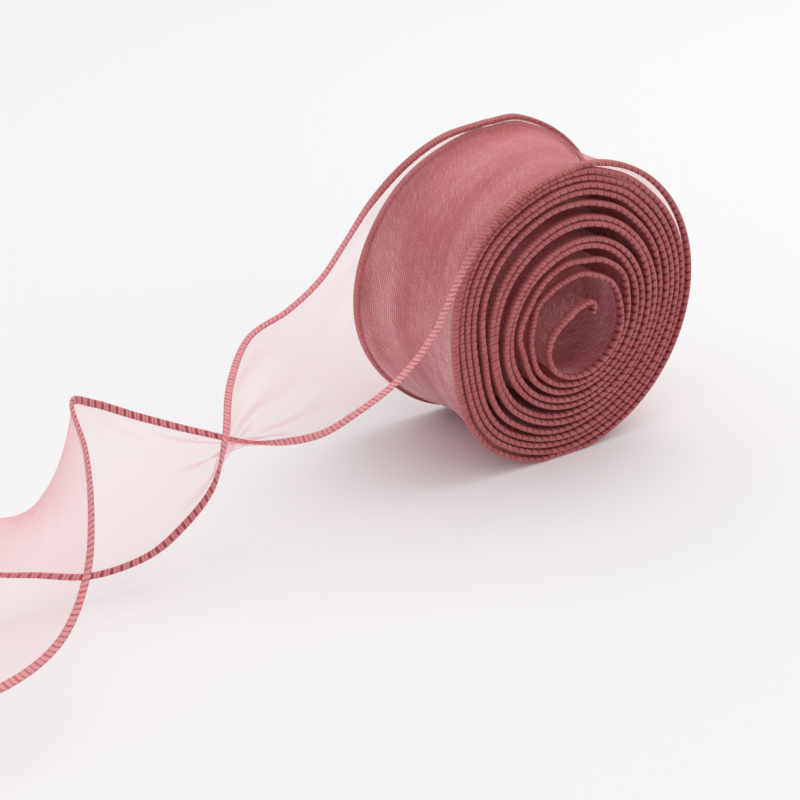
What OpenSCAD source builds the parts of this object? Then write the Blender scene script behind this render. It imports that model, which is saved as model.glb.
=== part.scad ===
// Roll of sheer ribbon with wired, overlocked edges, wound on itself with no core.
// The roll's axis runs along Y. Its front edge is at y = 0 and it rests on z = 0.
// The free tail leaves over the top towards -X and twists twice.

/* [Ribbon] */
// Width of the ribbon over both stitched edges
ribbon_w = 40; // [39:0.5:41]
// Thickness of the sheer web
web_t = 0.3; // [0.2:0.05:0.35]
// Diameter of each edge wire
wire_d = 0.4; // [0.3:0.05:0.5]
// Thickness of the edge stitching, square to the web
stitch_t = 1.6; // [1.3:0.1:1.6]
// Width of the edge stitching, along the web
stitch_w = 2.2; // [2:0.1:2.4]

/* [Roll] */
// Height of the roll's centre above the table
centre_z = 37.4; // [37.3:0.05:37.5]
// Direction in which the turns lie tightest, from +X towards +Z
tight_angle = -55; // [-70:1:-40]
// Radius of the innermost stretch, where the free inner end begins
inner_r = 12; // [11.5:0.5:12.5]
// Radius of the loose loop that runs up to the tail
loose_r = 37.5; // [37.2:0.1:37.8]

/* [Tail] */
// Rings along each 12 mm of the tail
tail_steps = 5; // [4:1:6]

/* [Hidden] */
$fn = 120;

// The two sides of every turn: how far it is from the roll's centre on the tight and the loose side.
tight_side = [17, 18.7, 20.5, 22.3, 24.1, 25.9, 27.7, 29.5, 31.3, 33.1, 34.9, 37];
loose_side = [9.5, 13.6, 17.2, 18.9, 22.7, 24.5, 27.2, 29, 31.4, 33.2, 35];
// Half turns that slide out together as the roll's middle
inner_half_turns = 8;
all_half_turns = 2 * len(loose_side);

fit_gap = 0.02;             // between the stitching and what it wraps
bore_d = wire_d + 2 * fit_gap;
slot_t = web_t + 2 * fit_gap;
edge_gap = ribbon_w - stitch_w;   // between the two edges' centre lines
web_inset = wire_d / 2 + fit_gap; // from an edge's centre line to the web
gap_turn = 0.25;            // degrees cut off each side where the roll's middle slides out
root_turn = 2.5;            // degrees cut off the free inner end at its root

// An arc of the roll: [centre along the tight direction, centre across it, radius, start angle, sweep].
function half_turn(k) =
    let (i = floor(k / 2), odd = k % 2)
    let (tight = tight_side[i + odd], loose = loose_side[i])
    [(tight - loose) / 2, 0, (tight + loose) / 2, 180 * odd, 180];

// The arc of radius r that ends, with the same tangent, where the given arc starts.
function arc_before(arc, r, sweep) =
    let (start = arc[3], shift = arc[2] - r)
    [arc[0] + shift * cos(start), arc[1] + shift * sin(start), r, start - sweep, sweep];

// The arc with some degrees cut off its start, or off its end.
function trim_start(arc, turn) = [arc[0], arc[1], arc[2], arc[3] + turn, arc[4] - turn];
function trim_end(arc, turn) = [arc[0], arc[1], arc[2], arc[3], arc[4] - turn];

inner_stretch = arc_before([tight_side[0] - inner_r, 0, inner_r, 0, 180], inner_r, 60);
curl_1 = arc_before(inner_stretch, 8, 105);
curl_2 = arc_before(curl_1, 16, 40);
hook = arc_before(curl_2, 1.5, 160);
top_angle = 90 - tight_angle;
loose_loop = [tight_side[11] - loose_r, 0, loose_r, 0, top_angle];

inner_end_arcs = [hook, curl_2, trim_end(curl_1, root_turn)];
inner_turn_arcs = [
    inner_stretch,
    for (k = [0 : inner_half_turns - 2]) half_turn(k),
    trim_end(half_turn(inner_half_turns - 1), gap_turn)
];
outer_turn_arcs = [
    trim_start(half_turn(inner_half_turns), gap_turn),
    for (k = [inner_half_turns + 1 : all_half_turns - 1]) half_turn(k),
    loose_loop
];

// Height of the loose loop's top, where the tail leaves the roll
top_z = centre_z + (tight_side[11] - loose_r) * sin(tight_angle) + loose_r;

// The tail's two edges, with one point of each list for each step along the ribbon.
front_route = [
    [0, 0, top_z], [-11, -1, 74], [-22, -3, 71], [-32, -5, 65], [-40, -7, 56],
    [-47, -9, 47], [-57, -11, 40], [-69, -13, 36], [-77, -9, 31], [-86, 0, 28],
    [-96, 8, 30], [-108, 10, 36], [-119, 7, 42], [-125, 2, 43], [-128, -9, 41],
    [-131, -20, 35], [-136, -28, 27], [-144, -34, 20], [-155, -37, 17], [-167, -38, 18]
];
rear_route = [
    [0, edge_gap, top_z], [-13, 37, 75], [-26, 34, 71], [-37, 32, 64], [-45, 30, 57],
    [-54, 27, 50], [-64, 25, 45], [-75, 24, 41], [-86, 12, 37], [-94, -1, 32],
    [-99, -4, 23], [-105, 0, 13], [-112, 4, 6], [-124, 5, 5], [-135, 7, 8],
    [-145, 7, 12], [-154, 4, 20], [-161, -1, 28], [-164, -7, 38], [-166, -14, 47]
];
twist_knot = 7;             // the step where the tail's first twist begins
fold_knot = 13;             // the step at the tail's second twist
last_knot = len(front_route) - 1;
joint_step = 0.03;          // part of a step left open at each of the tail's joints
end_step = 15;              // largest turn between two rings of the free inner end

// ---- Profiles across the ribbon: x is square to the web, y runs from the front edge at 0 to -edge_gap.

module web_profile()
    translate([-web_t / 2, -edge_gap + web_inset])
        square([web_t, edge_gap - 2 * web_inset]);

module wire_profile()
    circle(d = wire_d, $fn = 24);

// A rounded bar with a bore for the wire and a slot for the web's edge.
module stitching_profile() {
    round_shift = (stitch_w - stitch_t) / 2;
    difference() {
        union() {
            for (side = [-1, 1]) translate([0, side * round_shift]) circle(d = stitch_t, $fn = 36);
            square([stitch_t, 2 * round_shift], center = true);
        }
        circle(d = bore_d, $fn = 24);
        translate([-slot_t / 2, -stitch_w]) square([slot_t, stitch_w]);
    }
}

module at_rear_edge()
    translate([0, -edge_gap]) mirror([0, 1]) children();

// ---- The wound stretches

module wind(arcs)
    translate([0, 0, centre_z]) rotate([90, 0, 0]) rotate([0, 0, tight_angle])
        for (arc = arcs)
            translate([arc[0], arc[1], 0])
                rotate_extrude(angle = arc[4], start = arc[3])
                    translate([arc[2], 0]) children();

module wound_web(arcs)
    color([0.80, 0.50, 0.54]) wind(arcs) web_profile();

module wound_wire(arcs, rear = false)
    color([0.75, 0.75, 0.78]) wind(arcs)
        if (rear) at_rear_edge() wire_profile(); else wire_profile();

module wound_stitching(arcs, rear = false)
    color([0.70, 0.32, 0.38]) wind(arcs)
        if (rear) at_rear_edge() stitching_profile(); else stitching_profile();

// The same, pressed flat where it rests on the table.
module resting_stitching(rear = false)
    color([0.70, 0.32, 0.38])
        difference() {
            wound_stitching(outer_turn_arcs, rear);
            translate([-ribbon_w, -ribbon_w, -ribbon_w]) cube([2 * ribbon_w, 3 * ribbon_w, ribbon_w]);
        }

// ---- The free ends: closed skins swept through stations along both edges

function unit(v) = v / norm(v);

// A smooth curve through the points of a route, at step s.
function on_route(route, s) =
    let (i = max(0, min(floor(s), len(route) - 2)), t = s - i)
    let (b = route[i], c = route[i + 1])
    let (a = i > 0 ? route[i - 1] : 2 * b - c)
    let (d = i + 2 < len(route) ? route[i + 2] : 2 * c - b)
    0.5 * (2 * b + t * (c - a) + t * t * (2 * a - 5 * b + 4 * c - d) + t * t * t * (3 * b - a - 3 * c + d));

// The ribbon's cross-section at step s: [front point, rear point, way across, way square to the web].
function station(s) =
    let (front = on_route(front_route, s), rear = on_route(rear_route, s), e = 0.05)
    let (ahead = on_route(front_route, s + e) + on_route(rear_route, s + e))
    let (behind = on_route(front_route, s - e) + on_route(rear_route, s - e))
    let (across = unit(rear - front))
    [front, rear, across, unit(cross(ahead - behind, across))];

function stations(from, to) =
    let (count = round((to - from) * tail_steps))
    [for (i = [0 : count]) station(from + (to - from) * i / count)];

// The same for a wound stretch, at an angle along one of its arcs.
function arc_station(arc, angle) =
    let (turn = angle + tight_angle, out = [cos(turn), 0, sin(turn)])
    let (centre = [
        arc[0] * cos(tight_angle) - arc[1] * sin(tight_angle),
        0,
        centre_z + arc[0] * sin(tight_angle) + arc[1] * cos(tight_angle)
    ])
    let (front = centre + arc[2] * out)
    [front, front + [0, edge_gap, 0], [0, 1, 0], -out];

// The last arc ends the stretch; the others end where the next begins.
function arc_stations(arcs) = [
    for (i = [0 : len(arcs) - 1])
        let (arc = arcs[i], count = ceil(arc[4] / end_step))
        for (j = [0 : i == len(arcs) - 1 ? count : count - 1])
            arc_station(arc, arc[3] + arc[4] * j / count)
];

// One skin through rings of points that all have the same count. The two faces of a ring are split
// along the same diagonals, so a twisted sheet keeps its thickness.
module skin(rings) {
    n = len(rings[0]);
    last = len(rings) - 1;
    sides = [
        for (i = [0 : last - 1], j = [0 : n - 1])
            let (k = (j + 1) % n, a = i * n + j, b = i * n + k, c = (i + 1) * n + k, d = (i + 1) * n + j)
            each (j < n / 2 ? [[a, c, b], [a, d, c]] : [[a, d, b], [b, d, c]])
    ];
    start_cap = [for (j = [0 : n - 1]) j];
    end_cap = [for (j = [n - 1 : -1 : 0]) last * n + j];
    polyhedron([for (ring = rings) each ring], concat(sides, [start_cap, end_cap]), convexity = 8);
}

// Points of a profile round an edge: x runs from the edge towards the web, y square to the web.
function ring_at(st, rear, profile) =
    let (origin = rear ? st[1] : st[0], inward = rear ? -st[2] : st[2])
    let (points = rear ? [for (i = [len(profile) - 1 : -1 : 0]) profile[i]] : profile)
    [for (p = points) origin + p[0] * inward + p[1] * st[3]];

wire_ring = [for (a = [0 : 60 : 300]) wire_d / 2 * [cos(a), sin(a)]];

// A rounded bar with the wire's bore and the web's slot, as one closed outline.
bend_gap = 0.06;            // more room in the slot where the ribbon twists
stitching_ring =
    let (shift = (stitch_w - stitch_t) / 2, lip = stitch_w / 2 - 0.05, mouth = slot_t / 2 + bend_gap)
    [
        [lip, mouth],
        for (a = [45 : 45 : 315])
            [(cos(a) > 0.1 ? shift : cos(a) < -0.1 ? -shift : 0), 0] + stitch_t / 2 * [cos(a), sin(a)],
        [lip, -mouth],
        for (a = [300 : -60 : 60]) (bore_d / 2 + bend_gap / 2) * [cos(a), sin(a)]
    ];

// Where the web's rings have their points: a narrow cell in each slot and wide ones between.
web_edge = web_inset + bend_gap;
web_lip = stitch_w / 2 + 0.3;
plain_cells = [web_edge, edge_gap - web_edge];
bent_cells = [
    web_edge, web_lip,
    for (i = [1 : 3]) web_lip + (edge_gap - 2 * web_lip) * i / 4,
    edge_gap - web_lip, edge_gap - web_edge
];

// The cells beside the slots keep their width; the rest takes up what the ribbon gathers.
function web_at(u, stretch) =
    u <= web_lip ? u : u < edge_gap - web_lip ? u * stretch : u + edge_gap * (stretch - 1);

function web_ring(st, cells) =
    let (stretch = norm(st[1] - st[0]) / edge_gap)
    let (middle = [for (u = cells) st[0] + web_at(u, stretch) * st[2]])
    concat(
        [for (p = middle) p - web_t / 2 * st[3]],
        [for (i = [len(cells) - 1 : -1 : 0]) middle[i] + web_t / 2 * st[3]]
    );

module skinned_web(stops, cells = bent_cells)
    color([0.95, 0.82, 0.84]) skin([for (st = stops) web_ring(st, cells)]);

module skinned_wire(stops, rear = false)
    color([0.75, 0.75, 0.78]) skin([for (st = stops) ring_at(st, rear, wire_ring)]);

module skinned_stitching(stops, rear = false)
    color([0.70, 0.32, 0.38]) skin([for (st = stops) ring_at(st, rear, stitching_ring)]);

inner_end = arc_stations(inner_end_arcs);
tail_start = stations(joint_step, twist_knot - joint_step);
tail_twist = stations(twist_knot + joint_step, fold_knot - joint_step);
tail_end = stations(fold_knot + joint_step, last_knot);

// ---- Sub-parts

module outer_turns_web() wound_web(outer_turn_arcs);
module outer_turns_front_wire() wound_wire(outer_turn_arcs);
module outer_turns_rear_wire() wound_wire(outer_turn_arcs, rear = true);
module outer_turns_front_stitching() resting_stitching();
module outer_turns_rear_stitching() resting_stitching(rear = true);

module inner_turns_web() wound_web(inner_turn_arcs);
module inner_turns_front_wire() wound_wire(inner_turn_arcs);
module inner_turns_rear_wire() wound_wire(inner_turn_arcs, rear = true);
module inner_turns_front_stitching() wound_stitching(inner_turn_arcs);
module inner_turns_rear_stitching() wound_stitching(inner_turn_arcs, rear = true);

module inner_end_web() skinned_web(inner_end, plain_cells);
module inner_end_front_wire() skinned_wire(inner_end);
module inner_end_rear_wire() skinned_wire(inner_end, rear = true);
module inner_end_front_stitching() skinned_stitching(inner_end);
module inner_end_rear_stitching() skinned_stitching(inner_end, rear = true);

module tail_start_web() skinned_web(tail_start);
module tail_start_front_wire() skinned_wire(tail_start);
module tail_start_rear_wire() skinned_wire(tail_start, rear = true);
module tail_start_front_stitching() skinned_stitching(tail_start);
module tail_start_rear_stitching() skinned_stitching(tail_start, rear = true);

module tail_twist_web() skinned_web(tail_twist);
module tail_twist_front_wire() skinned_wire(tail_twist);
module tail_twist_rear_wire() skinned_wire(tail_twist, rear = true);
module tail_twist_front_stitching() skinned_stitching(tail_twist);
module tail_twist_rear_stitching() skinned_stitching(tail_twist, rear = true);

module tail_end_web() skinned_web(tail_end);
module tail_end_front_wire() skinned_wire(tail_end);
module tail_end_rear_wire() skinned_wire(tail_end, rear = true);
module tail_end_front_stitching() skinned_stitching(tail_end);
module tail_end_rear_stitching() skinned_stitching(tail_end, rear = true);

outer_turns_web();
outer_turns_front_wire();
outer_turns_rear_wire();
outer_turns_front_stitching();
outer_turns_rear_stitching();
inner_turns_web();
inner_turns_front_wire();
inner_turns_rear_wire();
inner_turns_front_stitching();
inner_turns_rear_stitching();
inner_end_web();
inner_end_front_wire();
inner_end_rear_wire();
inner_end_front_stitching();
inner_end_rear_stitching();
tail_start_web();
tail_start_front_wire();
tail_start_rear_wire();
tail_start_front_stitching();
tail_start_rear_stitching();
tail_twist_web();
tail_twist_front_wire();
tail_twist_rear_wire();
tail_twist_front_stitching();
tail_twist_rear_stitching();
tail_end_web();
tail_end_front_wire();
tail_end_rear_wire();
tail_end_front_stitching();
tail_end_rear_stitching();
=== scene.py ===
"""A roll of sheer wired ribbon: web, edge wires and overlock thread, on a pale table.

The ribbon is one long strip. Its two edges are followed from the curl in the roll's hollow, round every
turn and out along the tail; each stretch between two joints is made from a slice of those edges.
"""
import math

import bpy
import numpy as np
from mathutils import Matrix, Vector


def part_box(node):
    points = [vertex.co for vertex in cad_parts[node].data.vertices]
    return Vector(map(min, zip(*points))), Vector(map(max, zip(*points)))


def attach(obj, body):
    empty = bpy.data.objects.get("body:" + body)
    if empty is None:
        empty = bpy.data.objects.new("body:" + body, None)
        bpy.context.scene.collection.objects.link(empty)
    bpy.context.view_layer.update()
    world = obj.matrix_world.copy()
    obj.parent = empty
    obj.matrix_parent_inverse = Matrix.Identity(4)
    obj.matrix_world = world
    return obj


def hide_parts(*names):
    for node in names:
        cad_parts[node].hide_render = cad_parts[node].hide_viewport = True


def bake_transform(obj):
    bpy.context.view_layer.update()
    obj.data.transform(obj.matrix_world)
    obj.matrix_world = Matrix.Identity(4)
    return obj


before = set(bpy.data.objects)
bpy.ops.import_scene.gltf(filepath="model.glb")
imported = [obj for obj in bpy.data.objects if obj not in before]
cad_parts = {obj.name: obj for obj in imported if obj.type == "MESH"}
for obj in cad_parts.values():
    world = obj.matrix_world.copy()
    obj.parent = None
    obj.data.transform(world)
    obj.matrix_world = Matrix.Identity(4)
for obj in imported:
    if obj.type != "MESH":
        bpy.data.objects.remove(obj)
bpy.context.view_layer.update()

MM = 0.001

# ---- Sizes taken from the frame

front_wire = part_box("outer_turns_front_wire")
rear_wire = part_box("outer_turns_rear_wire")
front_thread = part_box("outer_turns_front_stitching")
WIRE_D = front_wire[1].y - front_wire[0].y
EDGE_GAP = rear_wire[0].y - front_wire[0].y
THREAD_W = front_thread[1].y - front_thread[0].y
RIBBON_W = EDGE_GAP + THREAD_W

# ---- The roll: every turn's distance from the roll's centre, on its tight and on its loose side (mm)

TIGHT_SIDE = [17, 18.7, 20.5, 22.3, 24.1, 25.9, 27.7, 29.5, 31.3, 33.1, 34.9, 37]
LOOSE_SIDE = [10, 14.2, 17.6, 19.1, 23.4, 24.9, 28.8, 31.6, 33.2, 34.9, 36.5]
CENTRE_Z = 37.4
TIGHT_ANGLE = -55          # degrees round from the level to the middle of the tight side
CURL_ARCS = [(12, 60), (8, 105), (16, 40), (1.5, 160)]    # radius and sweep, first turn in to the hook
INNER_HALF_TURNS = 8       # half turns of the inner, sliding part, the last of them joining it to the outer
LOOSE_R = 37.5             # the loose last turn's radius
TOP_Z = 75.31

# ---- How the wound turns stray from even ones

SWAY_ANGLES = [0, 50, 72, 90, 112, 138, 190, 232, 270, 305, 360]    # degrees round the roll
SWAY = {                                        # how far the outer turns' edges stray there (mm)
    "front": [-0.4, -1.1, -0.5, 0.1, 0.2, 0.8, -2.2, 0.4, 0.4, 0, -0.4],
    "rear": [0.6, 3.4, 2.6, 0.8, 0, 0.3, 1.5, 0.6, 0, 0, 0.6],
}
WAIST = [1, 2.6, 1.8, 1, 0.8, 0.8, 1.4, 2.6, 0.8, 0, 1]     # how far their webs sag between the edges (mm)
SWAY_FROM = 20 * MM        # from the roll's centre: the turns start to stray here,
SWAY_OVER = 11 * MM        # and do so in full this much further out
FLARE_ANGLES = [-55, -20, 37, 75, 90]           # where, and how far, the loose last turn's rear edge
FLARE = [0, 1.2, 3, 2.6, 1.2]                   # stands further out than its front one (degrees, mm)
MOST_SLACK = 1.6 * MM      # between two turns, however far apart they are wound
SLACK_USED = 0.42          # share of the slack that an edge wanders by, in or out
SLACK_PITCH = 0.45         # how far round the roll (radians) one such wave is
SNUG_START = 1             # the first and last radians round that keep to the even turns
SNUG_END = 2.6
DRIFT = 0.35 * MM          # how far a turn's edges drift along the roll's axis,
DRIFT_PITCH = 0.8          # and how far round (radians) one such wave is
RECESS = 1.6 * MM          # how deep a turn lies in the roll
RECESS_AT = 510            # degrees round from the first turn where it lies deepest,
RECESS_SPREAD = 80         # and how far round it rises again

# ---- The tail: matching points along both edges, 12 mm apart (mm)

FRONT_ROUTE = [
    [0, 0, TOP_Z], [-11, -1, 74], [-22, -3, 71], [-32, -5, 65], [-40, -7, 56],
    [-47, -9, 47], [-57, -11, 40], [-69, -13, 36], [-77, -9, 31], [-86, 0, 28],
    [-96, 8, 30], [-108, 10, 36], [-119, 7, 43.5], [-125, 2, 47], [-127, -9, 42],
    [-131, -20, 35], [-136, -28, 27], [-144, -34, 20], [-155, -37, 17], [-167, -38, 18],
]
REAR_ROUTE = [
    [0, EDGE_GAP / MM, TOP_Z + 1.2], [-13, 37, 75], [-26, 34, 71], [-37, 32, 64], [-45, 30, 57],
    [-54, 27, 50], [-64, 25, 45], [-75, 24, 41], [-86, 12, 37], [-94, -1, 32],
    [-99, -4, 23], [-105, 0, 13], [-112, 4, 6], [-124, 5, 5], [-135, 7, 8],
    [-145, 7, 12], [-154, 4, 20], [-161, -1, 28], [-164, -7, 38], [-166, -14, 47],
]

BOW_KNOTS = [0, 3, 12, 14, 15.5, 17, 19]    # and how far the web sags between them at some of the knots (mm)
BOW = [1, 0, 0, -5, -8.5, -6, -4]

STEP = 0.5 * MM            # between two stations along the ribbon
LEAST_STEPS = 8            # on the shortest arc
TAIL_STEP = 12 * MM        # between two knots of the tail's routes
POOL = 4096                # random values to take from, again and again

# ---- The stitching

THREAD_T = 1.4 * MM        # thickness of the stitching in the roll
TAIL_SHARE = (0.78, 0.6)   # its width and thickness along the tail, as shares of those in the roll
# Where it loosens, the thread also turns from its pressed tones, with their painted shade, to paler ones.
FREE_FROM = 2.5            # knots along the tail where the stitching starts to loosen,
FREE_OVER = 2              # and over how many more it does so
WRAP = 2.2 * MM            # each wrap of the overlock thread, two strands side by side
SLANT = 0.8                # how many wraps a strand moves on in one way round
STRAND_H = 0.1 * MM        # how far a strand stands out of its crease

# Widths are shares of a wrap, depths are shares of a strand's height.
CREASE_WIDTH = (0.05, 0.15)        # of the crease between two wraps: closed, and more where it opens
CREASE_DEPTH = (0.2, 0.3, 0.5)     # its depth in the roll, more along the tail, and more where it opens
MIDDLE_WIDTH = 0.08                # of the crease between a wrap's two strands
MIDDLE_DEPTH = (0.2, 0.4)          # its depth in the roll, and more along the tail
UNEVEN = 0.15                      # how much lower the lowest wrap is than the highest

THREAD_STEP = 0.2 * MM     # between two outlines along the thread
THREAD_POINTS = 18         # round each outline
WIRE_STEP = 1.5 * MM
WIRE_POINTS = 6
TABLE_GAP = 0.03 * MM      # the stitching keeps this far off the table

# ---- The web

WEB_STRIDE = 2             # stations from one row of its points to the next
WEB_CELLS = 22             # across the web in the roll
TAIL_WEB_CELLS = 72        # and in the tail, where it is gathered
FOLDS = 3                  # across the web where the tail is drawn together
FOLD_SHARE = 0.3           # how deep they are, as a share of folds that would use up the spare width
WAVE_CHORD = 1.6           # smooth waves use up less width than sharp folds, for which this would be 2
BROAD_PITCH = 26 * MM      # how far along the ribbon one sideways wander of the folds is,
BROAD_WANDER = 0.6         # and how many folds wide
FINE_PITCH = 17 * MM       # the same for the finer folds on them,
FINE_RATIO = 1.7           # how many there are to one broad fold,
FINE_SHARE = 0.2           # and how deep they are to it
FOLD_RISE = 4              # how steeply the folds rise from the edges
RIPPLE = 0.18 * MM         # how far the web bulges to one side and the other in between,
RIPPLE_PITCH = 30 * MM     # and how far along the ribbon one such wave is


# ---- Following the ribbon

def half_turn(k):
    """Half turn number k as (centre along the tight direction, centre across it, radius, start, sweep)."""
    i, odd = divmod(k, 2)
    tight = TIGHT_SIDE[i + odd]
    loose = LOOSE_SIDE[i]
    return (tight - loose) / 2, 0, (tight + loose) / 2, 180 * odd, 180


def arc_before(arc, radius, sweep):
    """The arc that ends, with the same tangent, where the given arc starts."""
    start = math.radians(arc[3])
    shift = arc[2] - radius
    return arc[0] + shift * math.cos(start), arc[1] + shift * math.sin(start), radius, arc[3] - sweep, sweep


def arc_points(arc):
    """Points in the roll's plane along an arc, a step apart, its last point left to the next arc."""
    cx, cy, radius, start, sweep = arc
    count = max(LEAST_STEPS, round(radius * math.radians(sweep) * MM / STEP))
    angle = np.radians(start + sweep * np.arange(count) / count)
    x = cx + radius * np.cos(angle)
    y = cy + radius * np.sin(angle)
    turn = math.radians(TIGHT_ANGLE)
    return np.column_stack([
        x * math.cos(turn) - y * math.sin(turn),
        np.zeros(count),
        x * math.sin(turn) + y * math.cos(turn),
    ]) * MM


def route_points(route, start, end):
    """Points a step apart on the smooth curve through a route, between two of its knots."""
    knots = np.array(route, float)
    knots = np.vstack([2 * knots[0] - knots[1], knots, 2 * knots[-1] - knots[-2]])
    at = np.linspace(start, end, round((end - start) * TAIL_STEP / STEP), endpoint=False)
    i = np.minimum(at.astype(int), len(route) - 2)
    t = (at - i)[:, None]
    a, b, c, d = (knots[i + n] for n in range(4))
    return 0.5 * (
        2 * b + t * (c - a) + t**2 * (2 * a - 5 * b + 4 * c - d) + t**3 * (3 * b - a - 3 * c + d)
    ) * MM


def eased(share):
    """From 0 to 1 along a slope that is level at both ends."""
    share = np.clip(share, 0, 1)
    return share * share * (3 - 2 * share)


def through(at, places, values):
    """A smooth curve that is level at each of its given values."""
    places, values = np.array(places, float), np.array(values, float)
    i = np.clip(np.searchsorted(places, at, side="right") - 1, 0, len(places) - 2)
    share = eased((at - places[i]) / (places[i + 1] - places[i]))
    return values[i] * (1 - share) + values[i + 1] * share


def bell(distance, width):
    """1 at no distance, and smoothly less the further away."""
    return np.exp(-((distance / width) ** 2))


def smooth_noise(at, pitch, seed):
    """Values from -1 to 1 that change smoothly along at, one random value each pitch."""
    values = np.random.default_rng(seed).uniform(-1, 1, POOL)
    i = np.floor(at / pitch).astype(int)
    share = eased(at / pitch - i)
    return values[i % POOL] * (1 - share) + values[(i + 1) % POOL] * share


def roll_stretches():
    """The arcs of each stretch in the roll, from the hook in its hollow out to the loose last turn."""
    turns = [half_turn(k) for k in range(2 * len(LOOSE_SIDE))]
    first_radius = CURL_ARCS[0][0]
    inward = [(TIGHT_SIDE[0] - first_radius, 0, first_radius, 0, 180)]
    for radius, sweep in CURL_ARCS:
        inward.append(arc_before(inward[-1], radius, sweep))
    _, inner_stretch, curl_1, curl_2, hook = inward
    return {
        "inner_curl": [hook, curl_2, curl_1],
        "middle_turns": [inner_stretch] + turns[:INNER_HALF_TURNS - 1],
        "link_turn": [turns[INNER_HALF_TURNS - 1]],
        "outer_turns": turns[INNER_HALF_TURNS:],
        "loose_loop": [(TIGHT_SIDE[-1] - LOOSE_R, 0, LOOSE_R, 0, 90 - TIGHT_ANGLE)],
    }


# The knots of the tail's routes between which each stretch of it lies.
TAIL_STRETCHES = {"tail_top": (0.05, 3.5), "tail_bend": (3.5, 10), "tail_fold": (10, 19)}


def wound_line():
    """The evenly wound ribbon's line in the roll's plane, and the slice of it that each stretch takes."""
    slices = {}
    points = []
    for name, arcs in roll_stretches().items():
        begin = sum(len(p) for p in points)
        points += [arc_points(arc) for arc in arcs]
        slices[name] = (begin, sum(len(p) for p in points))
    return np.vstack(points), slices


def slack_between(wound, own):
    """How far each place on the turns is from touching a neighbouring turn, from their angles and radii."""
    inside = np.interp(wound - 2 * math.pi, wound, own, left=0)
    outside = np.interp(wound + 2 * math.pi, wound, own, right=1)
    slack = np.clip(np.minimum(own - inside, outside - own) - THREAD_T, 0, MOST_SLACK)
    slack[wound > wound[-1] - SNUG_END] = 0
    slack[wound < wound[0] + SNUG_START] = 0
    return slack


def wound_edges():
    """Both edges of the unevenly wound ribbon, how far its web sags, and the slice of each stretch.

    The angles round the roll are counted from the level, and the loose last turn ends at the top, at 90.
    """
    flat, slices = wound_line()
    radius = np.hypot(flat[:, 0], flat[:, 2])
    turned = np.unwrap(np.arctan2(flat[:, 2], flat[:, 0]))
    first_turn = slices["middle_turns"][0]
    last_turn = slices["loose_loop"][0]
    wound = turned[first_turn:]
    own = radius[first_turn:]
    looped = last_turn - first_turn
    degrees = np.degrees(wound) % 360
    slack = slack_between(wound, own)
    outer = eased((own - SWAY_FROM) / SWAY_OVER) * MM
    waist = np.zeros(len(flat))
    waist[first_turn:] = outer * through(degrees, SWAY_ANGLES, WAIST)
    outer[looped:] = 0
    flare = np.zeros(len(own))
    flare[looped:] = through(np.degrees(wound[looped:] - wound[-1]) + 90, FLARE_ANGLES, FLARE) * MM
    recess = RECESS * bell(np.degrees(turned) - RECESS_AT, RECESS_SPREAD)
    out = flat / radius[:, None]
    edges = []
    for side, seed, y in (("front", 1, 0), ("rear", 2, EDGE_GAP)):
        shift = np.zeros(len(flat))
        sway = outer * through(degrees, SWAY_ANGLES, SWAY[side])
        shift[first_turn:] = sway + SLACK_USED * slack * smooth_noise(wound, SLACK_PITCH, seed)
        if side == "rear":
            shift[first_turn:] += flare
        drift = DRIFT * smooth_noise(turned, DRIFT_PITCH, seed + 10)
        drift[last_turn:] *= np.linspace(1, 0, len(flat) - last_turn)
        edge = flat + out * shift[:, None]
        edge[:, 1] = y + drift + recess
        edge[:, 2] = np.maximum(edge[:, 2] + CENTRE_Z * MM, THREAD_T / 2)
        edges.append(edge)
    return edges[0], edges[1], waist, slices


def whole_ribbon():
    """Both edges of the whole ribbon, how far its web sags between them, and the slice of each stretch."""
    front, rear, waist, slices = wound_edges()
    for name, (start, end) in TAIL_STRETCHES.items():
        begin = len(front)
        front = np.vstack([front, route_points(FRONT_ROUTE, start, end)])
        rear = np.vstack([rear, route_points(REAR_ROUTE, start, end)])
        slices[name] = (begin, len(front))
    knot = np.arange(len(front) - len(waist)) * STEP / TAIL_STEP
    return front, rear, np.append(waist, through(knot, BOW_KNOTS, BOW) * MM), slices


def unit(vectors):
    """The same directions, each of length 1."""
    return vectors / np.linalg.norm(vectors, axis=-1, keepdims=True)


def length_along(points):
    """The length of a line of points up to each of them."""
    return np.concatenate([[0], np.cumsum(np.linalg.norm(np.diff(points, axis=0), axis=1))])


FRONT, REAR, SAG, SLICES = whole_ribbon()
MIDDLE_LENGTH = length_along((FRONT + REAR) / 2)
TAIL_BEGIN = SLICES["tail_top"][0]


# ---- Meshes

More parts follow.
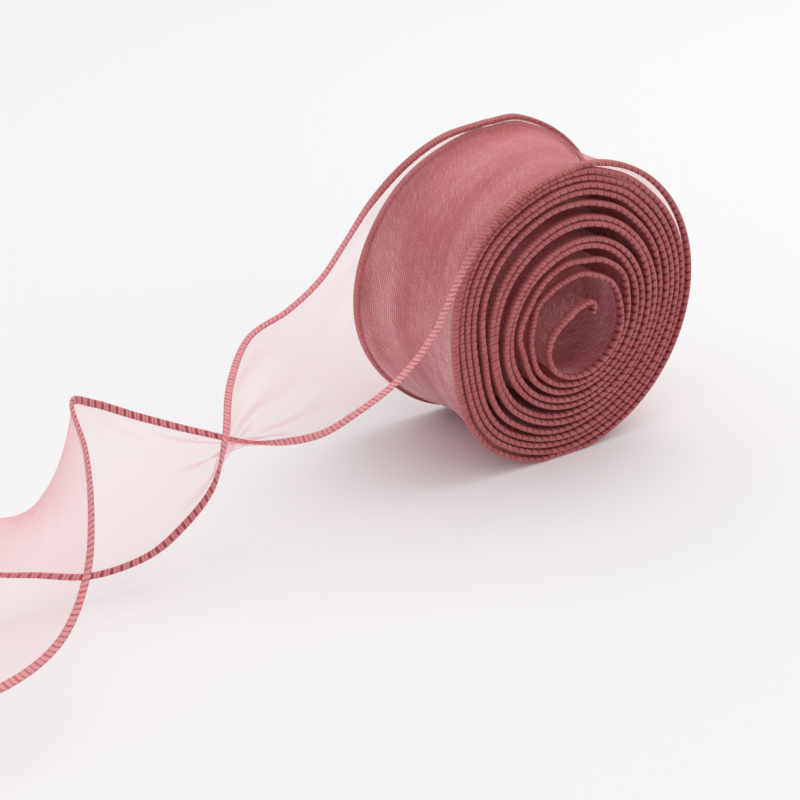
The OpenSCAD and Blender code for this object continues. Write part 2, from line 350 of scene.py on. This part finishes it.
def grid_mesh(name, points, closed=False, **values):
    """A mesh object through rows of points; closed joins each row's ends into a capped tube."""
    rows, columns = points.shape[:2]
    index = np.arange(rows * columns).reshape(rows, columns)
    if closed:
        index = np.hstack([index, index[:, :1]])
    quads = np.stack([index[:-1, :-1], index[:-1, 1:], index[1:, 1:], index[1:, :-1]], axis=-1).reshape(-1, 4)
    vertices = points.reshape(-1, 3)
    caps = []
    if closed:
        base = len(vertices)
        vertices = np.vstack([vertices, points[0], points[-1]])
        caps = [np.arange(base + columns - 1, base - 1, -1), np.arange(base + columns, base + 2 * columns)]
    mesh = bpy.data.meshes.new(name)
    mesh.vertices.add(len(vertices))
    mesh.vertices.foreach_set("co", vertices.astype(np.float32).ravel())
    loops = np.concatenate([quads.ravel(), *caps]).astype(np.int32)
    sizes = [4] * len(quads) + [len(cap) for cap in caps]
    starts = np.concatenate([[0], np.cumsum(sizes)[:-1]]).astype(np.int32)
    mesh.loops.add(len(loops))
    mesh.loops.foreach_set("vertex_index", loops)
    mesh.polygons.add(len(sizes))
    mesh.polygons.foreach_set("loop_start", starts)
    mesh.polygons.foreach_set("use_smooth", np.array([True] * len(quads) + [False] * len(caps)))
    mesh.update(calc_edges=True)
    for key, grid in values.items():
        flat = np.broadcast_to(grid, (rows, columns)).ravel()
        if closed:
            flat = np.concatenate([flat, flat[:columns], flat[-columns:]])
        stored = mesh.attributes.new(key, "FLOAT", "POINT")
        stored.data.foreach_set("value", flat.astype(np.float32))
    mesh.validate()
    piece = bpy.data.objects.new(name, mesh)
    bpy.context.collection.objects.link(piece)
    return piece


def edge_frame(edge, other):
    """Along an edge: its points, the way in to the web, the way square to it, and the length so far."""
    along = unit(np.gradient(edge, axis=0))
    inward = unit(other - edge)
    inward = unit(inward - along * (inward * along).sum(1, keepdims=True))
    return edge, inward, np.cross(along, inward), length_along(edge)


FRAMES = {"front": edge_frame(FRONT, REAR), "rear": edge_frame(REAR, FRONT)}


def resampled(side, begin, end, step):
    """The edge's frame between two stations, evenly spaced."""
    points, inward, square, length = FRAMES[side]
    last = min(end, len(points) - 1)
    count = max(2, round((length[last] - length[begin]) / step) + 1)
    at = np.linspace(length[begin], length[last], count)

    def taken(values):
        return np.column_stack([np.interp(at, length, values[:, n]) for n in range(3)])

    return taken(points), unit(taken(inward)), unit(taken(square)), at


def thread_outline():
    """A rounded bar's outline: points, outward directions and how far round each is, from 0 to 1."""
    half_flat = (THREAD_W - THREAD_T) / 2
    radius = THREAD_T / 2 - STRAND_H
    angle = 2 * math.pi * (np.arange(THREAD_POINTS) + 0.5) / THREAD_POINTS
    out = np.column_stack([np.cos(angle), np.sin(angle)])
    points = out * radius + np.column_stack([np.sign(out[:, 0]) * half_flat, np.zeros(THREAD_POINTS)])
    return points, out, angle / (2 * math.pi)


def strand_height(share, opened, free, picks):
    """How high the thread stands, up to 1, at a share of each wrap."""
    width, wider = CREASE_WIDTH
    depth, deeper_free, deeper_open = CREASE_DEPTH
    middle_depth, middle_deeper = MIDDLE_DEPTH
    crease = bell(np.minimum(share, 1 - share), width + wider * opened)
    middle = bell(share - 0.5, MIDDLE_WIDTH)
    return (
        1 - (depth + deeper_free * free + deeper_open * opened) * crease
        - (middle_depth + middle_deeper * free) * middle - UNEVEN * picks
    )


def thread(name, side, begin, end):
    """The overlock thread on an edge: slanted wraps of two strands, their creases open towards the roll."""
    centre, inward, square, at = resampled(side, begin, end, THREAD_STEP)
    outline, out, round_share = thread_outline()
    lean, seed = (1, 5) if side == "front" else (-1, 6)
    phase = at[:, None] / WRAP - SLANT * lean * round_share[None, :]
    wrap = np.floor(phase)
    picks = np.random.default_rng(seed).uniform(0, 1, POOL)[wrap.astype(int) % POOL]
    opened = (1 + lean * out[:, 1])[None] / 2
    tail_from = FRAMES[side][3][TAIL_BEGIN]
    free = eased(((at - tail_from) / TAIL_STEP - FREE_FROM) / FREE_OVER)[:, None]
    height = strand_height(phase - wrap, opened, free, picks)
    reach = outline[None] + out[None] * (height * STRAND_H)[..., None]
    reach = reach * (1 - free[..., None] * (1 - np.array(TAIL_SHARE)))
    points = centre[:, None] + inward[:, None] * reach[..., :1] + square[:, None] * reach[..., 1:]
    points[..., 2] = np.maximum(points[..., 2], TABLE_GAP)
    return grid_mesh(
        name, points, closed=True,
        height=height, wrap=picks, free=free, along=phase, round=round_share[None],
    )


def wire(name, side, begin, end):
    """The soft wire inside an edge."""
    centre, inward, square, _ = resampled(side, begin, end, WIRE_STEP)
    angle = 2 * math.pi * np.arange(WIRE_POINTS) / WIRE_POINTS
    points = centre[:, None] + WIRE_D / 2 * (
        inward[:, None] * np.cos(angle)[None, :, None] + square[:, None] * np.sin(angle)[None, :, None]
    )
    return grid_mesh(name, points, closed=True)


def fold_waves(run, across):
    """The folds over the web, from about -1 to 1: broad waves that wander sideways, with finer ones."""
    wander = smooth_noise(run, BROAD_PITCH, seed=21)[:, None]
    broad = FOLDS * across[None] + BROAD_WANDER * wander
    fine = FINE_RATIO * FOLDS * across[None] + smooth_noise(run, FINE_PITCH, seed=22)[:, None]
    return np.sin(2 * math.pi * broad) + FINE_SHARE * np.sin(2 * math.pi * fine)


def web(name, begin, end, cells):
    """The sheer web between the edges, gathered in folds where the edges come closer than its width."""
    last = min(end + 1, len(FRONT))
    keep = np.unique(np.append(np.arange(begin, last, WEB_STRIDE), last - 1))
    front, rear = FRONT[keep], REAR[keep]
    across = np.linspace(0, 1, cells + 1)
    points = front[:, None] * (1 - across)[None, :, None] + rear[:, None] * across[None, :, None]
    along = unit(np.gradient(points, axis=0))
    normal = unit(np.cross(along, unit(rear - front)[:, None]))
    chord = np.linalg.norm(rear - front, axis=1)
    spare = np.clip(EDGE_GAP - chord, 0, None)
    depth = np.sqrt(spare * (spare + WAVE_CHORD * chord)) / (4 * FOLDS)
    run = MIDDLE_LENGTH[keep]
    free = np.minimum(1, FOLD_RISE * np.sin(math.pi * across))[None]
    folds = FOLD_SHARE * depth[:, None] * fold_waves(run, across) * free
    ripple = RIPPLE * smooth_noise(run, RIPPLE_PITCH, seed=23)[:, None] * np.sin(2 * math.pi * across)[None]
    sag = SAG[keep][:, None] * np.sin(math.pi * across)[None]
    points = points + normal * (folds + ripple + sag)[..., None]
    return grid_mesh(name, points, along=run[:, None], across=across[None] * RIBBON_W)


# ---- Materials

def rgb(red, green, blue):
    """A screen colour from 0 to 255 as the linear colour that shaders take."""
    shares = [value / 255 for value in (red, green, blue)]
    return (*[v / 12.92 if v <= 0.04045 else ((v + 0.055) / 1.055) ** 2.4 for v in shares], 1)


def new_material(name):
    """An empty material, with its nodes and links."""
    material = bpy.data.materials.new(name)
    material.use_nodes = True
    nodes = material.node_tree.nodes
    nodes.clear()
    return material, nodes, material.node_tree.links


def node(nodes, kind, **settings):
    """A new shader node with its settings."""
    made = nodes.new(kind)
    for key, value in settings.items():
        setattr(made, key, value)
    return made


def attribute(nodes, name):
    """The value that grid_mesh stored at each point under a name."""
    return node(nodes, "ShaderNodeAttribute", attribute_name=name).outputs["Fac"]


def principled(nodes, **constants):
    """A principled shader, its constants given by socket name with _ for each space."""
    made = node(nodes, "ShaderNodeBsdfPrincipled")
    for key, value in constants.items():
        made.inputs[key.replace("_", " ")].default_value = value
    return made


def to_surface(nodes, links, shader):
    """Makes a shader the material's surface."""
    output = node(nodes, "ShaderNodeOutputMaterial")
    links.new(shader, output.inputs["Surface"])


def bump(nodes, links, height, strength, distance):
    """The normal of a surface with a height pattern on it."""
    made = node(nodes, "ShaderNodeBump")
    made.inputs["Strength"].default_value = strength
    made.inputs["Distance"].default_value = distance
    links.new(height, made.inputs["Height"])
    return made.outputs["Normal"]


def ramp(nodes, stops):
    """A colour ramp through stops, each a position and a colour."""
    made = node(nodes, "ShaderNodeValToRGB")
    elements = made.color_ramp.elements
    while len(elements) < len(stops):
        elements.new(0.5)
    for element, (position, colour) in zip(elements, stops):
        element.position = position
        element.color = colour
    return made


def ribbon_place(nodes, links):
    """The place on the ribbon as a vector in millimetres: along it, and across it."""
    place = node(nodes, "ShaderNodeCombineXYZ")
    links.new(attribute(nodes, "along"), place.inputs["X"])
    links.new(attribute(nodes, "across"), place.inputs["Y"])
    scaled = node(nodes, "ShaderNodeVectorMath", operation="SCALE")
    scaled.inputs["Scale"].default_value = 1 / MM
    links.new(place.outputs["Vector"], scaled.inputs[0])
    return scaled.outputs["Vector"]


def streaks(nodes, links, place, sizes, turn):
    """Noise over the ribbon's plane: spots of the given sizes (mm), turned so many degrees."""
    mapping = node(nodes, "ShaderNodeMapping", vector_type="TEXTURE")
    mapping.inputs["Rotation"].default_value = (0, 0, math.radians(turn))
    mapping.inputs["Scale"].default_value = (*sizes, 1)
    links.new(place, mapping.inputs["Vector"])
    noise = node(nodes, "ShaderNodeTexNoise")
    noise.inputs["Scale"].default_value = 1
    links.new(mapping.outputs["Vector"], noise.inputs["Vector"])
    return noise.outputs["Fac"]


def math_node(nodes, links, operation, *terms):
    """One sum on two or three values, each a number or another node's output."""
    made = node(nodes, "ShaderNodeMath", operation=operation)
    for slot, value in zip(made.inputs, terms):
        if isinstance(value, bpy.types.NodeSocket):
            links.new(value, slot)
        else:
            slot.default_value = value
    return made.outputs["Value"]


def weighted_sum(nodes, links, parts):
    """The sum of several outputs, each times its weight."""
    total = 0
    for value, weight in parts:
        total = math_node(nodes, links, "MULTIPLY_ADD", value, weight, total)
    return total


UNIT_BAND = 2 * math.pi / 20    # how far apart a wave texture's bands are at a scale of 1
WEAVE = 0.3                     # between two threads of the web (mm)


def ribs(nodes, links, place, direction, period):
    """Even bands across the ribbon's plane, a period of so many millimetres apart."""
    wave = node(nodes, "ShaderNodeTexWave", bands_direction=direction)
    wave.inputs["Scale"].default_value = UNIT_BAND / period
    wave.inputs["Distortion"].default_value = 0.8
    wave.inputs["Detail"].default_value = 1
    links.new(place, wave.inputs["Vector"])
    return wave.outputs["Fac"]


def weave_colour_and_painted_sheen(nodes, links, place, tones_to_painted_glint):
    """The weave's tone: slanted satin streaks, broad clouds and faint ribs along the ribbon.

    The streaks and clouds are painted sheen, light and shade, up to a near-white painted glint.
    """
    shades = weighted_sum(nodes, links, [
        (streaks(nodes, links, place, (0.22, 4), 45), 0.36),
        (streaks(nodes, links, place, (0.45, 1.2), -40), 0.2),
        # painted light and shade in broad clouds
        (streaks(nodes, links, place, (28, 9), -8), 0.32),
        (ribs(nodes, links, place, "Y", 0.8), 0.12),
    ])
    # the top tone, near white, is a painted glint
    colour = ramp(nodes, [(0.39, tones_to_painted_glint[0]), (0.5, tones_to_painted_glint[1]), (0.62, tones_to_painted_glint[2])])
    links.new(shades, colour.inputs["Fac"])
    return colour.outputs["Color"]


def weave_normal(nodes, links, place):
    """The threads of the weave, crossing each other."""
    crossing = math_node(
        nodes, links, "MAXIMUM",
        ribs(nodes, links, place, "X", WEAVE), ribs(nodes, links, place, "Y", WEAVE),
    )
    return bump(nodes, links, crossing, strength=0.3, distance=0.06 * MM)


def glint_roughness(nodes, links, place):
    """How rough the weave is, with small smoother spots that glint."""
    glints = node(nodes, "ShaderNodeTexVoronoi", feature="F1")
    glints.inputs["Scale"].default_value = 1.5
    links.new(place, glints.inputs["Vector"])
    rough = ramp(nodes, [(0.1, (0.16, 0.16, 0.16, 1)), (0.3, (0.4, 0.4, 0.4, 1))])
    links.new(glints.outputs["Distance"], rough.inputs["Fac"])
    return rough.outputs["Color"]


def web_material(name, tones_to_painted_glint, cover, cover_grazing, through_share, sparkle):
    """Organza: a fine satin weave that lets light through, denser where it is seen at a slant."""
    material, nodes, links = new_material(name)
    place = ribbon_place(nodes, links)
    # Its colour carries painted satin sheen, glints and broad painted shade.
    colour = weave_colour_and_painted_sheen(nodes, links, place, tones_to_painted_glint)
    cloth = principled(
        nodes, Specular_IOR_Level=sparkle, Sheen_Weight=0.3, Sheen_Roughness=0.35, Sheen_Tint=tones_to_painted_glint[2],
    )
    links.new(glint_roughness(nodes, links, place), cloth.inputs["Roughness"])
    links.new(colour, cloth.inputs["Base Color"])
    links.new(weave_normal(nodes, links, place), cloth.inputs["Normal"])
    lit_through = node(nodes, "ShaderNodeBsdfTranslucent")
    links.new(colour, lit_through.inputs["Color"])
    body = node(nodes, "ShaderNodeMixShader")
    body.inputs["Fac"].default_value = through_share
    links.new(cloth.outputs["BSDF"], body.inputs[1])
    links.new(lit_through.outputs["BSDF"], body.inputs[2])

    open_weave = node(nodes, "ShaderNodeBsdfTransparent")
    open_weave.inputs["Color"].default_value = (1, 0.965, 0.968, 1)
    facing = node(nodes, "ShaderNodeLayerWeight")
    facing.inputs["Blend"].default_value = 0.5
    solid = node(nodes, "ShaderNodeMapRange")
    solid.inputs["From Min"].default_value = 0.2
    solid.inputs["From Max"].default_value = 0.95
    solid.inputs["To Min"].default_value = cover
    solid.inputs["To Max"].default_value = cover_grazing
    links.new(facing.outputs["Facing"], solid.inputs["Value"])
    sheer = node(nodes, "ShaderNodeMixShader")
    links.new(solid.outputs["Result"], sheer.inputs["Fac"])
    links.new(open_weave.outputs["BSDF"], sheer.inputs[1])
    links.new(body.outputs["Shader"], sheer.inputs[2])
    to_surface(nodes, links, sheer.outputs["Shader"])
    return material


# The thread's colours from the bottom of its creases to the top of its strands.
# Their dark end is painted shade in the creases and their light end a painted highlight on the strands;
# the pressed set, for the roll, is darker still with painted shade over the roll's face.
PRESSED_SHADED_TONES = [rgb(94, 32, 37), rgb(130, 50, 56), rgb(166, 78, 82), rgb(204, 120, 123)]
LOOSE_TONES = [rgb(152, 66, 78), rgb(196, 104, 114), rgb(226, 144, 150), rgb(242, 176, 180)]
TONE_HEIGHTS = [0.05, 0.45, 0.75, 1]


def strand_colour_and_painted_shade(nodes, links):
    """Painted shade in the creases and painted highlights on the strands, no two wraps the same.

    Darker in the roll, with painted shade over the roll's face, and paler where the ribbon is free.
    """
    height = attribute(nodes, "height")
    # The pressed tones, for the roll, are darker: painted shade over the roll's face.
    shaded_pressed = ramp(nodes, list(zip(TONE_HEIGHTS, PRESSED_SHADED_TONES)))
    loose = ramp(nodes, list(zip(TONE_HEIGHTS, LOOSE_TONES)))
    links.new(height, shaded_pressed.inputs["Fac"])
    links.new(height, loose.inputs["Fac"])
    colour = node(nodes, "ShaderNodeMix", data_type="RGBA")
    links.new(attribute(nodes, "free"), colour.inputs["Factor"])
    links.new(shaded_pressed.outputs["Color"], colour.inputs["A"])
    links.new(loose.outputs["Color"], colour.inputs["B"])
    tone = ramp(nodes, [(0, rgb(236, 226, 226)), (1, rgb(255, 252, 250))])
    links.new(attribute(nodes, "wrap"), tone.inputs["Fac"])
    varied = node(nodes, "ShaderNodeMix", data_type="RGBA", blend_type="MULTIPLY")
    varied.inputs["Factor"].default_value = 1
    links.new(colour.outputs["Result"], varied.inputs["A"])
    links.new(tone.outputs["Color"], varied.inputs["B"])
    return varied.outputs["Result"]


def fibre_normal(nodes, links):
    """Fine fibres that run round with the strands."""
    place = node(nodes, "ShaderNodeCombineXYZ")
    links.new(attribute(nodes, "along"), place.inputs["X"])
    links.new(attribute(nodes, "round"), place.inputs["Y"])
    mapping = node(nodes, "ShaderNodeMapping")
    mapping.inputs["Scale"].default_value = (18, 5, 1)
    links.new(place.outputs["Vector"], mapping.inputs["Vector"])
    fibres = node(nodes, "ShaderNodeTexNoise")
    fibres.inputs["Scale"].default_value = 1
    fibres.inputs["Detail"].default_value = 2
    links.new(mapping.outputs["Vector"], fibres.inputs["Vector"])
    return bump(nodes, links, fibres.outputs["Fac"], strength=0.3, distance=0.08 * MM)


def thread_material():
    """Dyed overlock thread: soft fibres wound into strands, coloured with painted shade and highlights."""
    material, nodes, links = new_material("overlock_thread")
    shader = principled(
        nodes, Roughness=0.5, Specular_IOR_Level=0.35, Sheen_Weight=0.2, Sheen_Tint=rgb(240, 172, 178),
    )
    links.new(strand_colour_and_painted_shade(nodes, links), shader.inputs["Base Color"])
    links.new(fibre_normal(nodes, links), shader.inputs["Normal"])
    to_surface(nodes, links, shader.outputs["BSDF"])
    return material


def wire_material():
    """Fine soft steel wire with drawing marks."""
    material, nodes, links = new_material("soft_wire")
    marks = node(nodes, "ShaderNodeTexNoise")
    marks.inputs["Scale"].default_value = 900
    rough = ramp(nodes, [(0.3, (0.28, 0.28, 0.28, 1)), (0.7, (0.45, 0.45, 0.45, 1))])
    links.new(marks.outputs["Fac"], rough.inputs["Fac"])
    shader = principled(nodes, Base_Color=rgb(190, 190, 196), Metallic=1)
    links.new(rough.outputs["Color"], shader.inputs["Roughness"])
    to_surface(nodes, links, shader.outputs["BSDF"])
    return material


def table_material():
    """Plain, pale and matt."""
    material, nodes, links = new_material("pale_table")
    shader = principled(nodes, Base_Color=rgb(244, 244, 245), Roughness=0.7, Specular_IOR_Level=0.2)
    to_surface(nodes, links, shader.outputs["BSDF"])
    return material


THREAD = thread_material()
WIRE = wire_material()
# Each organza's top tone is a near-white painted glint.
WOUND = web_material(
    "wound_organza", [rgb(190, 88, 98), rgb(222, 134, 143), rgb(252, 200, 206)],
    cover=0.68, cover_grazing=0.92, through_share=0.18, sparkle=0.5,
)
# The curl in the hollow: the same organza with darker tones, painted shade of the roll's hollow.
SHADED_INNER = web_material(
    "shaded_inner_organza", [rgb(150, 72, 80), rgb(212, 130, 136), rgb(252, 204, 206)],
    cover=0.7, cover_grazing=0.9, through_share=0.3, sparkle=0.5,
)
SHEER = web_material(
    "single_organza", [rgb(236, 140, 146), rgb(244, 162, 168), rgb(250, 190, 194)],
    cover=0.11, cover_grazing=0.5, through_share=0.5, sparkle=0.3,
)


# ---- Building the stretches

def stretch(name, organza, cad_stretch=None):
    """One stretch of ribbon: its web and, on each edge, the wire and the thread round it."""
    begin, end = SLICES[name]
    sheet = web(f"{name}_sheet", begin, end, TAIL_WEB_CELLS if name in TAIL_STRETCHES else WEB_CELLS)
    sheet.data.materials.append(organza)
    pieces = [sheet]
    for side in ("front", "rear"):
        made = thread(f"{name}_{side}_thread", side, begin, end)
        made.data.materials.append(THREAD)
        core = wire(f"{name}_{side}_core", side, begin, end)
        core.data.materials.append(WIRE)
        pieces += [made, core]
        if cad_stretch:
            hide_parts(f"{cad_stretch}_{side}_stitching")
            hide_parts(f"{cad_stretch}_{side}_wire")
    if cad_stretch:
        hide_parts(f"{cad_stretch}_web")
    return pieces


def riding(pieces, body):
    """Makes every piece of a stretch move with a body."""
    for piece in pieces:
        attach(piece, body)


def bending(pieces):
    """Bakes every piece of a stretch's placing into its mesh."""
    for piece in pieces:
        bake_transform(piece)


bending(
    stretch("inner_curl", SHADED_INNER, "inner_end"),
)
riding(stretch("middle_turns", WOUND, "inner_turns"), "core")
bending(
    stretch("link_turn", WOUND),
)
riding(stretch("outer_turns", WOUND, "outer_turns"), "roll")
riding(stretch("loose_loop", SHEER), "roll")
bending(
    stretch("tail_top", SHEER, "tail_start"),
)
bending(
    stretch("tail_bend", SHEER, "tail_twist"),
)
bending(
    stretch("tail_fold", SHEER, "tail_end"),
)


# ---- Table, light and camera

def make_table():
    """A square table top, 6 m wide."""
    half = 3
    mesh = bpy.data.meshes.new("table")
    corners = [(-half, -half, 0), (half, -half, 0), (half, half, 0), (-half, half, 0)]
    mesh.from_pydata(corners, [], [(0, 1, 2, 3)])
    table = bpy.data.objects.new("table", mesh)
    mesh.materials.append(table_material())
    bpy.context.collection.objects.link(table)


def area_light(name, place, aim, size, power, colour):
    """A round lamp at a place, turned towards its aim."""
    data = bpy.data.lights.new(name, "AREA")
    data.shape = "DISK"
    data.size = size
    data.energy = power
    data.color = colour
    light = bpy.data.objects.new(name, data)
    light.location = place
    light.rotation_mode = "QUATERNION"
    light.rotation_quaternion = (Vector(aim) - Vector(place)).to_track_quat("-Z", "Y")
    bpy.context.collection.objects.link(light)


def make_lights():
    """Even light from all round, with a large soft lamp overhead."""
    world = bpy.data.worlds.new("soft_studio")
    world.use_nodes = True
    background = world.node_tree.nodes["Background"]
    background.inputs["Color"].default_value = (1, 0.995, 0.995, 1)
    background.inputs["Strength"].default_value = 0.82
    bpy.context.scene.world = world
    area_light(
        "overhead", place=(0.6, 0, 1.4), aim=(0.2, -0.1, 0), size=1.4, power=7, colour=(1, 0.995, 0.99),
    )


def make_camera():
    """Level camera in front and to the left, looking down on the roll."""
    azimuth, elevation = math.radians(-33), math.radians(26.3)
    aim = Vector((-0.0321, 0.0271, 0.0125))
    distance = 0.3534
    back = Vector((
        math.sin(azimuth) * math.cos(elevation),
        -math.cos(azimuth) * math.cos(elevation),
        math.sin(elevation),
    ))
    data = bpy.data.cameras.new("camera")
    data.lens = 63
    data.sensor_width = 36
    data.clip_start = 0.01
    camera = bpy.data.objects.new("camera", data)
    camera.location = aim + back * distance
    camera.rotation_mode = "QUATERNION"
    camera.rotation_quaternion = (-back).to_track_quat("-Z", "Y")
    bpy.context.collection.objects.link(camera)
    bpy.context.scene.camera = camera


make_table()
make_lights()
make_camera()
bpy.context.scene.view_settings.view_transform = "Standard"
bpy.context.scene.cycles.transparent_max_bounces = 48
